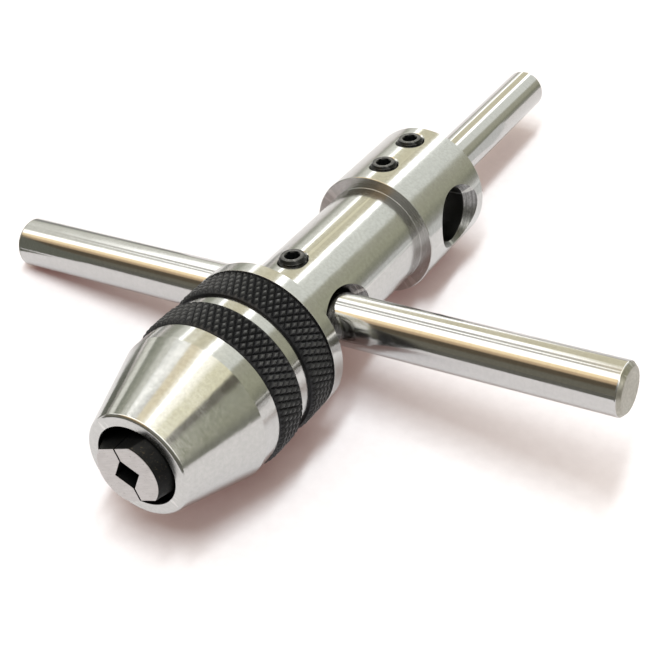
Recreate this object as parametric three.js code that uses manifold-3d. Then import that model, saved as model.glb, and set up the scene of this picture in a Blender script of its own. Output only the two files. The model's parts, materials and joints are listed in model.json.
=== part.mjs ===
// Piloted T-handle tap wrench, lying on a flat surface on its chuck sleeve, its rear collar and the left
// end of its T-bar. The tool is drawn along its spindle: +Y runs from the nose to the guide rod, +X along
// the T-bar and +Z towards the set screws. The whole tool is then rolled and pitched until it rests.
import * as THREE from "three";
import { mergeVertices } from "three/addons/utils/BufferGeometryUtils.js";
import Module from "manifold-3d";

const wasm = await Module();
wasm.setup();

// Driving dimensions, in millimetres and degrees. Positions along the spindle count from the nose face.
const RUNNING_GAP = 0.3;
const EDGE = 0.4;

const SLEEVE_R = 17.3;
const NOSE_R = 11.2;
const MOUTH_R = 8.6;
const MOUTH_LENGTH = 1.1;
const CONE_END = 17.7;
const CONE_END_R = 16.6;
const FRONT_KNURL = [22.2, 30.1];
const REAR_KNURL = [33.4, 41.3];
const KNURL_GROOVE_R = 16.2;
const SLEEVE_END = 44.7;
const THREAD_BORE_R = 13.2;
const RING_GROOVE = [41.6, 43.4];
const RING_GROOVE_R = 14.3;

const BODY_R = 11.8;
const FORK_START = 6;
const FORK_START_R = 10;
const THREAD = [14, 36];
const SLOT_WIDTH = 12;
const SLOT_END = 20;
const SHANK_BORE_R = 4.2;
const SHANK_BORE_END = 42;
const COLLAR_R = 14.4;
const COLLAR = [87, 112.3];
const COLLAR_FILLET = 0.3;
const ROD_BORE_END = 66;
const ROD_BORE_MOUTH_R = 6.2;

const BAR_R = 5.5;
const BAR_Y = 55.8;
const BAR_ENDS = [-73.9, 72.2];
const BAR_CHAMFER = 0.9;
const CROSS_BORE_R = 6.1;
const CROSS_BORE_Z = 0.3;
const COUNTERSINK_R = 8.5;
const SPARE_BORE_Y = 100.8;

const ROD_R = 4.95;
const ROD_ENDS = [88, 166.3];
const ROD_CHAMFER = 0.8;

const JAW_ANGLE = 19;
const JAW_TAPER = 20;
const JAW_FRONT = -2.75;
const JAW_FRONT_R = 6.9;
const JAW_BACK_R = 10.6;
const JAW_END = 19.6;
const JAW_WIDTH = SLOT_WIDTH - 2 * RUNNING_GAP;
const JAW_SLIT = 0.4;
const SQUARE_FLATS = 4.5;
const NOTCH_END = 13;

const SPRING_Y = 16.3;
const SPRING_OFFSET = 3;
const SPRING_COIL_R = 0.95;
const SPRING_WIRE_R = 0.25;
const SPRING_HALF_LENGTH = 3.4;
const SPRING_TURNS = 6;
const POCKET_R = 1.5;
const POCKET_DEPTH = 3.8;

const SCREW_R = 3;
const SOCKET_FLATS = 3;
const SOCKET_DEPTH = 3;
const BAR_SCREW_LENGTH = 7;
const ROD_SCREW_LENGTH = 9.75;
const ROD_SCREWS_Y = [93.8, 105.8];

const RING_R = [12.3, 13.95];
const RING_Y = [42, 43];
const RING_OPENING = 40;

// Facets round a full turn, by size of the round.
const FINE = 72;
const MEDIUM = 40;
const SMALL = 24;
const BEYOND = 30;

const radians = THREE.MathUtils.degToRad;

// A closed geometry as a manifold-3d solid, once only its positions are left and shared.
function solidOf(geometry) {
  const plain = geometry.clone();
  plain.deleteAttribute("normal");
  plain.deleteAttribute("uv");
  const merged = mergeVertices(plain, 1e-4);
  return new wasm.Manifold(
    new wasm.Mesh({
      numProp: 3,
      vertProperties: merged.attributes.position.array,
      triVerts: new Uint32Array(merged.index.array),
    }),
  );
}

function geometryOf(solid) {
  const mesh = solid.getMesh();
  const geometry = new THREE.BufferGeometry();
  geometry.setAttribute("position", new THREE.BufferAttribute(mesh.vertProperties, 3));
  geometry.setIndex(new THREE.BufferAttribute(mesh.triVerts, 1));
  return geometry;
}

function cut(geometry, tools) {
  return geometryOf(tools.reduce((left, tool) => left.subtract(solidOf(tool)), solidOf(geometry)));
}

function common(geometry, other) {
  return geometryOf(solidOf(geometry).intersect(solidOf(other)));
}

// A solid of revolution about Y. The profile is a list of [radius, y] that starts and ends on the axis,
// or comes back to its first point for a ring, and runs so that the material is on its left.
function turned(profile, facets = FINE) {
  return new THREE.LatheGeometry(profile.map(([r, y]) => new THREE.Vector2(r, y)), facets);
}

function ring(profile, facets = FINE) {
  return turned([...profile, profile[0]], facets);
}

function block(x, y, z) {
  return new THREE.BoxGeometry(x, y, z);
}

// Points of a quarter circle that turns from the direction of the shaft to the face of a shoulder.
function filletPoints(shaftR, faceY, radius) {
  const steps = 3;
  return Array.from({ length: steps + 1 }, (_, i) => {
    const a = (i / steps) * (Math.PI / 2);
    return [shaftR + radius * (1 - Math.cos(a)), faceY - radius + radius * Math.sin(a)];
  });
}

// A round bar along Y with a chamfer at both ends.
function chamferedBar(radius, start, end, chamfer, facets) {
  return turned(
    [
      [0, start],
      [radius - chamfer, start],
      [radius, start + chamfer],
      [radius, end - chamfer],
      [radius - chamfer, end],
      [0, end],
    ],
    facets,
  );
}

// The drill that makes a cross hole along X, opened by a 90 degree countersink where it leaves the shaft.
function crossDrill(shaftR, y) {
  const straight = shaftR - (COUNTERSINK_R - CROSS_BORE_R);
  const flare = CROSS_BORE_R + (BEYOND - straight);
  return turned(
    [
      [0, -BEYOND],
      [flare, -BEYOND],
      [CROSS_BORE_R, -straight],
      [CROSS_BORE_R, straight],
      [flare, BEYOND],
      [0, BEYOND],
    ],
    MEDIUM,
  )
    .rotateZ(Math.PI / 2)
    .translate(0, y, CROSS_BORE_Z);
}

// The tapped hole of a set screw, from the middle of the shaft out through its top.
function screwDrill(y) {
  const radius = SCREW_R + RUNNING_GAP;
  return new THREE.CylinderGeometry(radius, radius, BEYOND, SMALL)
    .rotateX(Math.PI / 2)
    .translate(0, y, BEYOND / 2);
}

// The radius of the jaws' conical backs, and of the matching seat in the sleeve, at a place on the spindle.
const taper = Math.tan(radians(JAW_TAPER));
const jawRadius = (y) => JAW_FRONT_R + (y - JAW_FRONT) * taper;
const seatRadius = (y) => jawRadius(y) + RUNNING_GAP / Math.cos(radians(JAW_TAPER));
const placeOnSeat = (radius) => MOUTH_LENGTH + (radius - seatRadius(MOUTH_LENGTH)) / taper;

function knurlBand([start, end]) {
  return [
    [SLEEVE_R - EDGE, start],
    [SLEEVE_R, start + EDGE],
    [SLEEVE_R, end - EDGE],
    [SLEEVE_R - EDGE, end],
  ];
}

function chuckSleeve() {
  return ring([
    [MOUTH_R, 0],
    [NOSE_R - EDGE, 0],
    [NOSE_R, EDGE],
    [CONE_END_R, CONE_END],
    [CONE_END_R, FRONT_KNURL[0]],
    ...knurlBand(FRONT_KNURL),
    [KNURL_GROOVE_R, FRONT_KNURL[1]],
    [KNURL_GROOVE_R, REAR_KNURL[0]],
    ...knurlBand(REAR_KNURL),
    [SLEEVE_R, REAR_KNURL[1] + EDGE],
    [SLEEVE_R, SLEEVE_END - EDGE],
    [SLEEVE_R - EDGE, SLEEVE_END],
    [THREAD_BORE_R, SLEEVE_END],
    [THREAD_BORE_R, RING_GROOVE[1]],
    [RING_GROOVE_R, RING_GROOVE[1]],
    [RING_GROOVE_R, RING_GROOVE[0]],
    [THREAD_BORE_R, RING_GROOVE[0]],
    [THREAD_BORE_R, placeOnSeat(THREAD_BORE_R)],
    [seatRadius(MOUTH_LENGTH), MOUTH_LENGTH],
    [MOUTH_R, MOUTH_LENGTH / 2],
  ]);
}

// The spindle: slotted threaded nose, plain shank with the T-bar's hole, and the collar for the guide rod.
function spindle() {
  const rodBoreR = ROD_R + RUNNING_GAP;
  const threadR = THREAD_BORE_R - RUNNING_GAP;
  const bar = turned([
    [0, FORK_START],
    [FORK_START_R, FORK_START],
    [threadR, THREAD[0]],
    [threadR, THREAD[1] - 1],
    [BODY_R, THREAD[1]],
    ...filletPoints(BODY_R, COLLAR[0], COLLAR_FILLET),
    [COLLAR_R - EDGE, COLLAR[0]],
    [COLLAR_R, COLLAR[0] + EDGE],
    [COLLAR_R, COLLAR[1] - EDGE],
    [COLLAR_R - EDGE, COLLAR[1]],
    [ROD_BORE_MOUTH_R, COLLAR[1]],
    [rodBoreR, COLLAR[1] - (ROD_BORE_MOUTH_R - rodBoreR)],
    [rodBoreR, ROD_BORE_END],
    [0, ROD_BORE_END],
  ]);
  const slot = block(2 * BEYOND, SLOT_END, SLOT_WIDTH)
    .translate(0, SLOT_END / 2, 0)
    .rotateY(-radians(JAW_ANGLE));
  const shankBore = new THREE.CylinderGeometry(SHANK_BORE_R, SHANK_BORE_R, SHANK_BORE_END, SMALL)
    .translate(0, SHANK_BORE_END / 2, 0);
  return cut(bar, [
    slot,
    shankBore,
    crossDrill(BODY_R, BAR_Y),
    crossDrill(COLLAR_R, SPARE_BORE_Y),
    screwDrill(BAR_Y),
    ...ROD_SCREWS_Y.map(screwDrill),
  ]);
}

// One jaw, on the +X side of its slot: a conical back, flat flanks, half of the square hole for the tap
// and two blind pockets for the springs that part the jaws.
function jaw() {
  const coneEnd = JAW_FRONT + (JAW_BACK_R - JAW_FRONT_R) / taper;
  const back = turned([
    [0, JAW_FRONT],
    [JAW_FRONT_R, JAW_FRONT],
    [JAW_BACK_R, coneEnd],
    [JAW_BACK_R, JAW_END],
    [0, JAW_END],
  ]);
  const half = block(BEYOND, BEYOND * 2, JAW_WIDTH).translate(JAW_SLIT / 2 + BEYOND / 2, 0, 0);
  const notchLength = NOTCH_END - JAW_FRONT + 1;
  const notch = block(SQUARE_FLATS, notchLength, SQUARE_FLATS)
    .rotateY(Math.PI / 4)
    .translate(0, NOTCH_END - notchLength / 2, 0);
  const pockets = [-1, 1].map((side) =>
    new THREE.CylinderGeometry(POCKET_R, POCKET_R, 2 * POCKET_DEPTH, SMALL)
      .rotateZ(Math.PI / 2)
      .translate(0, SPRING_Y, side * SPRING_OFFSET),
  );
  return cut(common(back, half), [notch, ...pockets]);
}

class SpringCurve extends THREE.Curve {
  getPoint(t, target = new THREE.Vector3()) {
    const angle = t * SPRING_TURNS * 2 * Math.PI;
    return target.set(
      (2 * t - 1) * (SPRING_HALF_LENGTH - SPRING_WIRE_R),
      SPRING_COIL_R * Math.cos(angle),
      SPRING_COIL_R * Math.sin(angle),
    );
  }
}

function jawSpring(side) {
  const wire = new THREE.Shape().absarc(0, 0, SPRING_WIRE_R, 0, 2 * Math.PI);
  return new THREE.ExtrudeGeometry(wire, {
    curveSegments: 3,
    steps: SPRING_TURNS * 10,
    extrudePath: new SpringCurve(),
  }).translate(0, SPRING_Y, side * SPRING_OFFSET);
}

// The snap ring in the sleeve's rear bore, open on one side so that it can be squeezed into its groove.
function stopRing() {
  const full = ring([
    [RING_R[0], RING_Y[0]],
    [RING_R[1], RING_Y[0]],
    [RING_R[1], RING_Y[1]],
    [RING_R[0], RING_Y[1]],
  ]);
  const opening = 2 * RING_R[1] * Math.sin(radians(RING_OPENING / 2));
  return cut(full, [block(BEYOND, BEYOND * 4, opening).translate(-BEYOND / 2, 0, 0)]);
}

// A set screw with its tip on the origin and its socket upwards, along Z.
function setScrew(length) {
  const cup = 0.6;
  const shank = turned(
    [
      [0, cup],
      [SCREW_R / 2 - cup / 2, 0],
      [SCREW_R / 2 + cup / 2, 0],
      [SCREW_R, SCREW_R / 2],
      [SCREW_R, length - EDGE],
      [SCREW_R - EDGE, length],
      [0, length],
    ],
    SMALL,
  );
  const socketR = SOCKET_FLATS / 2 / Math.cos(Math.PI / 6);
  const socket = new THREE.CylinderGeometry(socketR, socketR, 2 * SOCKET_DEPTH, 6)
    .translate(0, length, 0);
  return cut(shank, [socket]).rotateX(Math.PI / 2);
}

const FINISHES = {
  turnedSteel: { color: 0xc9cabf, roughness: 0.28, metalness: 1 },
  brightSteel: { color: 0xd6d6d2, roughness: 0.16, metalness: 1 },
  jawSteel: { color: 0xcfc6c2, roughness: 0.42, metalness: 1 },
  springSteel: { color: 0x8d8f92, roughness: 0.35, metalness: 1 },
  blackOxide: { color: 0x1b1b1c, roughness: 0.4, metalness: 0.85 },
};

function piece(name, geometry, finish) {
  const mesh = new THREE.Mesh(geometry, new THREE.MeshStandardMaterial(FINISHES[finish]));
  mesh.name = name;
  return mesh;
}

function screwPiece(name, length, y, z) {
  const mesh = piece(name, setScrew(length), "blackOxide");
  mesh.position.set(0, y, z);
  return mesh;
}

const jaws = new THREE.Group();
const jawRight = piece("jaw_right", jaw(), "jawSteel");
const jawLeft = piece("jaw_left", jaw(), "jawSteel");
jawLeft.rotation.y = Math.PI;
jaws.add(jawRight, jawLeft);
jaws.add(piece("jaw_spring_upper", jawSpring(1), "springSteel"));
jaws.add(piece("jaw_spring_lower", jawSpring(-1), "springSteel"));
jaws.rotation.y = -radians(JAW_ANGLE);

const tBar = piece("t_bar", chamferedBar(BAR_R, ...BAR_ENDS, BAR_CHAMFER, MEDIUM), "brightSteel");
tBar.rotation.z = -Math.PI / 2;
tBar.position.y = BAR_Y;

const tool = new THREE.Group();
tool.add(piece("spindle_body", spindle(), "turnedSteel"));
tool.add(piece("chuck_sleeve", chuckSleeve(), "turnedSteel"));
tool.add(piece("sleeve_stop_ring", stopRing(), "springSteel"));
tool.add(jaws);
tool.add(tBar);
tool.add(piece("guide_rod", chamferedBar(ROD_R, ...ROD_ENDS, ROD_CHAMFER, MEDIUM), "brightSteel"));
tool.add(screwPiece("bar_set_screw", BAR_SCREW_LENGTH, BAR_Y, BAR_R + RUNNING_GAP));
tool.add(screwPiece("rod_set_screw_front", ROD_SCREW_LENGTH, ROD_SCREWS_Y[0], ROD_R + RUNNING_GAP));
tool.add(screwPiece("rod_set_screw_rear", ROD_SCREW_LENGTH, ROD_SCREWS_Y[1], ROD_R + RUNNING_GAP));

// Resting attitude: the surface touches the rear edges of the sleeve and the collar, so the spindle
// slopes down to the rear, and the tool rolls until the left end of the T-bar meets the surface too.
const slope = (SLEEVE_R - COLLAR_R) / (COLLAR[1] - SLEEVE_END);
const barHeight = SLEEVE_R - (BAR_Y - SLEEVE_END) * slope;
const endRimR = BAR_R - BAR_CHAMFER;
const roll = Math.asin(barHeight / Math.hypot(BAR_ENDS[0], endRimR)) - Math.atan(endRimR / -BAR_ENDS[0]);
tool.rotation.set(-Math.atan(slope), -roll, 0, "XYZ");

// The origin is the middle of the underside of the bounding box.
const box = new THREE.Box3().setFromObject(tool, true);
const middle = box.getCenter(new THREE.Vector3());
tool.position.set(-middle.x, -middle.y, -box.min.z);

const wrench = new THREE.Group();
wrench.add(tool);
export default wrench;
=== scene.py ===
"""Looks of the T-handle tap wrench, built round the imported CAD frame."""

import json
import math

import bpy
import numpy as np
from mathutils import Matrix, Vector


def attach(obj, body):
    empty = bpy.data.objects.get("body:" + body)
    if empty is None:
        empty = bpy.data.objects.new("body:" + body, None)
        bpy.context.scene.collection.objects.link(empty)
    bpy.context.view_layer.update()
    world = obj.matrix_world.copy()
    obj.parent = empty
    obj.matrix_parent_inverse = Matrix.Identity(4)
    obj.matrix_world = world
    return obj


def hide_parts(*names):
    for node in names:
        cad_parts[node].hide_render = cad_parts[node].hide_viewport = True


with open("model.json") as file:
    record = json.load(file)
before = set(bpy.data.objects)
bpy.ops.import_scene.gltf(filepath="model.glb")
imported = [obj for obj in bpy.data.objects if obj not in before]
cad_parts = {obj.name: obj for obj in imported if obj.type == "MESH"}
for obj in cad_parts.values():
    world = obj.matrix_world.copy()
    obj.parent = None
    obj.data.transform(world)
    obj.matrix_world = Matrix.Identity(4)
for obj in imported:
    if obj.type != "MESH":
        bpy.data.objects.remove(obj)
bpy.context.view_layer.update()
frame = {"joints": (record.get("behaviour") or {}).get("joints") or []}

MM = 0.001

# ----------------------------------------
# Frame of the tool: +Y from the nose to the guide rod, +X along the T-bar, +Z to the set screws.
# Its origin is the middle of the nose face. The shapes below are drawn in millimetres in it.
# ----------------------------------------
joints = {joint["name"]: joint for joint in frame["joints"]}
axis_x = Vector(joints["t_bar_slide"]["axis"]).normalized()
axis_y = -Vector(joints["sleeve_turn"]["axis"]).normalized()
axis_z = axis_x.cross(axis_y)
nose = Vector(joints["sleeve_turn"]["pos_m"])
TOOL = Matrix((axis_x, axis_y, axis_z)).transposed().to_4x4()
TOOL.translation = nose

# ----------------------------------------
# Camera, fitted to the outlines of the tool in the photo
# ----------------------------------------
CAMERA_AT = Vector((0.12199, -0.21966, 0.21177))
CAMERA_AIM = Vector((0.00875, -0.02981, 0.0200))
CAMERA_LENS = 80.65
SENSOR = 36.0
CAMERA_ROLL = math.radians(0.89)

camera_data = bpy.data.cameras.new("photo_camera")
camera_data.lens = CAMERA_LENS
camera_data.sensor_width = SENSOR
camera_data.clip_start = 0.01
camera_data.clip_end = 50
camera = bpy.data.objects.new("photo_camera", camera_data)
bpy.context.scene.collection.objects.link(camera)
look = (CAMERA_AIM - CAMERA_AT).to_track_quat("-Z", "Y")
roll = Matrix.Rotation(CAMERA_ROLL, 4, "Z")
camera.matrix_world = Matrix.Translation(CAMERA_AT) @ look.to_matrix().to_4x4() @ roll
bpy.context.scene.camera = camera
bpy.context.scene.view_settings.view_transform = "Standard"
bpy.context.scene.view_settings.look = "None"


# ----------------------------------------
# Node helpers
# ----------------------------------------
class Nodes:
    """A thin layer over a node tree: each call adds one node and returns its output socket."""

    def __init__(self, tree):
        self.tree = tree

    def add(self, kind, **settings):
        node = self.tree.nodes.new(kind)
        for key, value in settings.items():
            setattr(node, key, value)
        return node

    def put(self, socket, value):
        if isinstance(value, bpy.types.NodeSocket):
            self.tree.links.new(value, socket)
        else:
            socket.default_value = value

    def object_mm(self):
        """Object coordinates in millimetres."""
        node = self.add("ShaderNodeVectorMath", operation="SCALE")
        self.put(node.inputs[0], self.add("ShaderNodeTexCoord").outputs["Object"])
        self.put(node.inputs["Scale"], 1 / MM)
        return node.outputs[0]

    def math(self, operation, a, b=0.0, clamp=False):
        node = self.add("ShaderNodeMath", operation=operation, use_clamp=clamp)
        self.put(node.inputs[0], a)
        self.put(node.inputs[1], b)
        return node.outputs[0]

    def ramp(self, value, low, high, to_low=0.0, to_high=1.0, smooth=True):
        node = self.add("ShaderNodeMapRange", clamp=True)
        node.interpolation_type = "SMOOTHSTEP" if smooth else "LINEAR"
        self.put(node.inputs["Value"], value)
        self.put(node.inputs["From Min"], low)
        self.put(node.inputs["From Max"], high)
        self.put(node.inputs["To Min"], to_low)
        self.put(node.inputs["To Max"], to_high)
        return node.outputs["Result"]

    def band(self, value, low, high, soft):
        """1 between low and high, falling to 0 over a width of soft."""
        rise = self.ramp(value, low - soft, low + soft)
        fall = self.ramp(value, high - soft, high + soft, 1.0, 0.0)
        return self.math("MULTIPLY", rise, fall)

    def mix(self, factor, a, b):
        node = self.add("ShaderNodeMix", data_type="RGBA")
        self.put(node.inputs[0], factor)
        self.put(node.inputs[6], a if isinstance(a, bpy.types.NodeSocket) else (*a, 1.0))
        self.put(node.inputs[7], b if isinstance(b, bpy.types.NodeSocket) else (*b, 1.0))
        return node.outputs[2]

    def mix_float(self, factor, a, b):
        node = self.add("ShaderNodeMix", data_type="FLOAT")
        self.put(node.inputs[0], factor)
        self.put(node.inputs[2], a)
        self.put(node.inputs[3], b)
        return node.outputs[0]

    def noise(self, scale, detail=2.0, roughness=0.5, vector=None, w=None):
        node = self.add("ShaderNodeTexNoise", noise_dimensions="1D" if w is not None else "3D")
        if w is not None:
            self.put(node.inputs["W"], w)
        else:
            self.put(node.inputs["Vector"], vector)
        self.put(node.inputs["Scale"], scale)
        self.put(node.inputs["Detail"], detail)
        self.put(node.inputs["Roughness"], roughness)
        return node.outputs[0]

    def bump(self, height, strength, distance, normal=None):
        node = self.add("ShaderNodeBump")
        self.put(node.inputs["Height"], height)
        self.put(node.inputs["Strength"], strength)
        self.put(node.inputs["Distance"], distance)
        if normal is not None:
            self.put(node.inputs["Normal"], normal)
        return node.outputs[0]


# ----------------------------------------
# Studio. The metal sees a drawn room (the world) and low cards round the set, and neither lamp.
# The room and the two lamps light the floor. Sizes here are metres in the part's frame.
# ----------------------------------------
ROOM_STRENGTH = 1.08
ACROSS_SPINDLE = (0.992, 0.107, 0.062)
ALONG_LEFT_LAMP = (0.712, 0.256, 0.655)

FLOOR_REACH = 4.0
PAPER = ((0.40, 0.393, 0.405), (0.42, 0.413, 0.425))
PAPER_IN_METAL = ((0.345, 0.35, 0.36), (0.365, 0.37, 0.38))
SHADOW_TINT = (1.0, 0.42, 0.36, 1.0)
SHADOW_GLOW = 0.12

LAMP_HEIGHT = 1.5
STRIP_POWER = 37.0
STRIP_COLOUR = (0.9, 0.99, 1.0)
SOFT_POWER = 6.5
SOFT_COLOUR = (1.0, 0.9, 0.88)
CARD_LIFT = 0.0004
DARK_CARD = (0.18, 0.185, 0.15)


def behind_tool(n, direction):
    """The room behind and over the tool, from its right wall to its left wall."""
    x, y, z = direction

    def along(axis):
        total = n.math("ADD", n.math("MULTIPLY", x, axis[0]), n.math("MULTIPLY", y, axis[1]))
        return n.math("ADD", total, n.math("MULTIPLY", z, axis[2]))

    over = along(ACROSS_SPINDLE)
    left = along(ALONG_LEFT_LAMP)
    low = n.math("ARCTAN2", y, n.math("MAXIMUM", z, 0.001))
    far = n.ramp(low, math.radians(20), math.radians(45))
    near = n.math("SUBTRACT", 1.0, far)

    # Right wall, which is pale, then shaded, then olive
    olive = n.mix(far, (0.31, 0.315, 0.225), (0.44, 0.44, 0.325))
    shade = n.mix(far, (0.055, 0.045, 0.02), (0.46, 0.455, 0.35))
    pale = n.mix(far, (0.97, 0.92, 0.65), (0.90, 0.92, 0.85))
    side = n.math("ADD", over, n.math("MULTIPLY", far, 0.13))
    colour = n.mix(n.ramp(side, 0.59, 0.64), pale, shade)
    colour = n.mix(n.ramp(side, 0.73, 0.83), colour, olive)
    colour = n.mix(n.ramp(side, 0.90, 1.0), colour, (0.33, 0.33, 0.235))
    colour = n.mix(n.ramp(z, 0.26, 0.08), colour, (0.27, 0.27, 0.205))

    # Beige ceiling, then the left wall with a window in it
    beige = n.mix(far, (1.0, 0.88, 0.62), (0.82, 0.77, 0.56))
    colour = n.mix(n.ramp(over, -0.05, -0.11), colour, beige)
    colour = n.mix(n.ramp(left, 0.0, -0.03), colour, (0.84, 0.84, 0.75))
    colour = n.mix(n.ramp(left, -0.14, -0.26), colour, (0.43, 0.44, 0.36))
    colour = n.mix(n.ramp(left, -0.30, -0.40), colour, (0.30, 0.31, 0.25))
    colour = n.mix(n.band(left, -0.57, -0.44, 0.02), colour, (1.0, 1.0, 0.9))

    # Left lamp, then the glow round the lamp over the spindle, then that lamp
    colour = n.mix(n.band(left, -0.03, 0.05, 0.008), colour, (2.3, 2.3, 2.25))
    wide_glow = n.math("MULTIPLY", near, n.band(over, -0.13, 0.26, 0.09))
    colour = n.mix(wide_glow, colour, (1.55, 1.5, 1.3))
    colour = n.mix(n.band(over, -0.075, 0.055, 0.015), colour, (2.6, 2.6, 2.55))

    skyline = n.mix(n.ramp(x, -0.35, 0.1), (0.42, 0.42, 0.36), (0.36, 0.36, 0.29))
    low_and_far = n.math("MULTIPLY", n.ramp(z, 0.11, 0.04), n.ramp(y, 0.2, 0.5))
    return n.mix(low_and_far, colour, skyline), left


def in_front(n, x, across):
    """A warm patch on the left in a dim room, which the lower half of the T-bar sees."""
    warm = n.band(x, -0.82, -0.08, 0.05)
    deep = n.ramp(across, math.radians(-72), math.radians(-60))
    deep = n.mix(deep, (0.19, 0.18, 0.14), n.mix(warm, (0.24, 0.235, 0.205), (0.13, 0.105, 0.07)))
    patch = n.ramp(across, math.radians(-50), math.radians(-42))
    front = n.mix(patch, deep, n.mix(warm, (0.40, 0.395, 0.36), (0.75, 0.55, 0.34)))
    gold = n.ramp(across, math.radians(-38), math.radians(-33))
    front = n.mix(gold, front, n.mix(warm, (0.85, 0.85, 0.80), (1.35, 1.08, 0.66)))
    lamp = n.ramp(across, math.radians(-25), math.radians(-19))
    return n.mix(lamp, front, (2.3, 2.25, 2.1))


def over_left(n, room, x, across, left):
    """Two white strips over the left with a grey gap between them, which the T-bar sees."""
    gap = n.band(across, math.radians(2.5), math.radians(28), math.radians(3.5))
    stripes = n.mix(gap, (2.3, 2.3, 2.2), (0.64, 0.63, 0.58))
    hairline = n.band(across, math.radians(36.5), math.radians(37.5), math.radians(0.7))
    stripes = n.mix(hairline, stripes, (0.75, 0.75, 0.68))
    seam = n.band(across, math.radians(11.5), math.radians(16), math.radians(1.0))
    stripes = n.mix(seam, stripes, (2.3, 2.3, 2.2))
    reach = n.math("MULTIPLY", n.ramp(x, -0.42, -0.48),
                   n.band(across, math.radians(-19), math.radians(44), math.radians(2)))
    away = n.ramp(left, -0.06, -0.01)
    return n.mix(n.math("MULTIPLY", reach, away), room, stripes)


def build_world():
    world = bpy.data.worlds.new("studio")
    bpy.context.scene.world = world
    world.use_nodes = True
    world.node_tree.nodes.clear()
    n = Nodes(world.node_tree)
    place = n.add("ShaderNodeTexCoord")
    split = n.add("ShaderNodeSeparateXYZ")
    n.put(split.inputs[0], place.outputs["Generated"])
    x, y, z = split.outputs[0], split.outputs[1], split.outputs[2]
    across = n.math("ARCTAN2", y, z)

    colour, left = behind_tool(n, (x, y, z))
    room = n.mix(n.ramp(y, -0.08, 0.03), in_front(n, x, across), colour)
    room = over_left(n, room, x, across, left)
    room = n.mix(n.ramp(z, 0.0, -0.02), room, (0.40, 0.39, 0.39))

    background = n.add("ShaderNodeBackground")
    n.put(background.inputs["Strength"], ROOM_STRENGTH)
    n.put(background.inputs["Color"], room)
    output = n.add("ShaderNodeOutputWorld")
    n.put(output.inputs[0], background.outputs[0])


def build_floor():
    """White paper that glows a little, so that its shadows turn pink, and greyer in the metal."""
    mesh = bpy.data.meshes.new("floor")
    corners = [(-FLOOR_REACH, -FLOOR_REACH, 0), (FLOOR_REACH, -FLOOR_REACH, 0),
               (FLOOR_REACH, FLOOR_REACH, 0), (-FLOOR_REACH, FLOOR_REACH, 0)]
    mesh.from_pydata(corners, [], [(0, 1, 2, 3)])
    floor = bpy.data.objects.new("floor", mesh)
    bpy.context.scene.collection.objects.link(floor)
    material, n, shader = new_material("floor_white")
    fibre = n.ramp(n.noise(0.35, 4.0, 0.6, vector=n.object_mm()), 0.3, 0.7)
    in_metal = n.add("ShaderNodeLightPath").outputs["Is Glossy Ray"]
    n.put(shader.inputs["Base Color"],
          n.mix(in_metal, n.mix(fibre, *PAPER), n.mix(fibre, *PAPER_IN_METAL)))
    n.put(shader.inputs["Roughness"], 0.6)
    n.put(shader.inputs["Specular IOR Level"], 0.15)
    n.put(shader.inputs["Emission Color"], SHADOW_TINT)
    n.put(shader.inputs["Emission Strength"], SHADOW_GLOW)
    mesh.materials.append(material)


def ceiling_lamp(name, middle, size, power, colour):
    """A rectangular lamp aimed at the origin. It lights the floor, and no metal sees it."""
    data = bpy.data.lights.new(name, "AREA")
    data.shape = "RECTANGLE"
    data.size, data.size_y = size
    data.energy = power
    data.color = colour
    light = bpy.data.objects.new(name, data)
    bpy.context.scene.collection.objects.link(light)
    turn = (-Vector(middle)).to_track_quat("-Z", "Y").to_matrix().to_4x4()
    light.matrix_world = Matrix.Translation(Vector(middle)) @ turn
    light.visible_glossy = False


def card(name, corners, colour):
    """A card that only the metal sees."""
    mesh = bpy.data.meshes.new(name)
    mesh.from_pydata(corners, [], [(0, 1, 2, 3)])
    sheet = bpy.data.objects.new(name, mesh)
    bpy.context.scene.collection.objects.link(sheet)
    material = bpy.data.materials.new(name)
    material.use_nodes = True
    n = Nodes(material.node_tree)
    glow = n.add("ShaderNodeEmission")
    n.put(glow.inputs["Color"], (*colour, 1.0))
    n.put(material.node_tree.nodes["Material Output"].inputs[0], glow.outputs[0])
    mesh.materials.append(material)
    sheet.visible_camera = False
    sheet.visible_diffuse = False
    sheet.visible_shadow = False


def flag(name, ends, height, colour):
    """An upright card that stands on the floor between two ends, like the edge of a real table."""
    (x0, y0), (x1, y1) = ends
    card(name, [(x0, y0, 0), (x1, y1, 0), (x1, y1, height), (x0, y0, height)], colour)


def build_lights():
    h = LAMP_HEIGHT
    ceiling_lamp("strip_over", (0.05 * h, -0.25 * h, h), (0.1 * h, 0.7 * h), STRIP_POWER,
                 STRIP_COLOUR)
    ceiling_lamp("soft_over", (0.0, -0.1 * h, h), (0.9 * h, 0.9 * h), SOFT_POWER, SOFT_COLOUR)
    flag("flag_right", ((0.25, 0.6), (0.25, 0.1)), 0.036, (0.37, 0.37, 0.32))
    flag("flag_near_right", ((0.25, 0.1), (0.25, -0.3)), 0.036, (0.26, 0.26, 0.21))
    flag("flag_left", ((-0.095, -0.085), (-0.095, -0.036)), 0.026, DARK_CARD)
    card("card_left", [(-0.08, -0.056, CARD_LIFT), (-0.08, -0.034, CARD_LIFT),
                       (-0.28, 0.065, CARD_LIFT), (-0.28, -0.04, CARD_LIFT)], DARK_CARD)
    flag("flag_front", ((0.15, -0.135), (-0.25, -0.135)), 0.03, (0.165, 0.16, 0.135))
    flag("flag_back_left", ((-0.14, 0.0), (-0.08, 0.048)), 0.019, (0.36, 0.36, 0.33))
    flag("flag_back_right", ((0.015, 0.075), (0.14, 0.045)), 0.018, (0.75, 0.75, 0.72))


# ----------------------------------------
# Materials
# ----------------------------------------
def new_material(name):
    material = bpy.data.materials.new(name)
    material.use_nodes = True
    return material, Nodes(material.node_tree), material.node_tree.nodes["Principled BSDF"]


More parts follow.
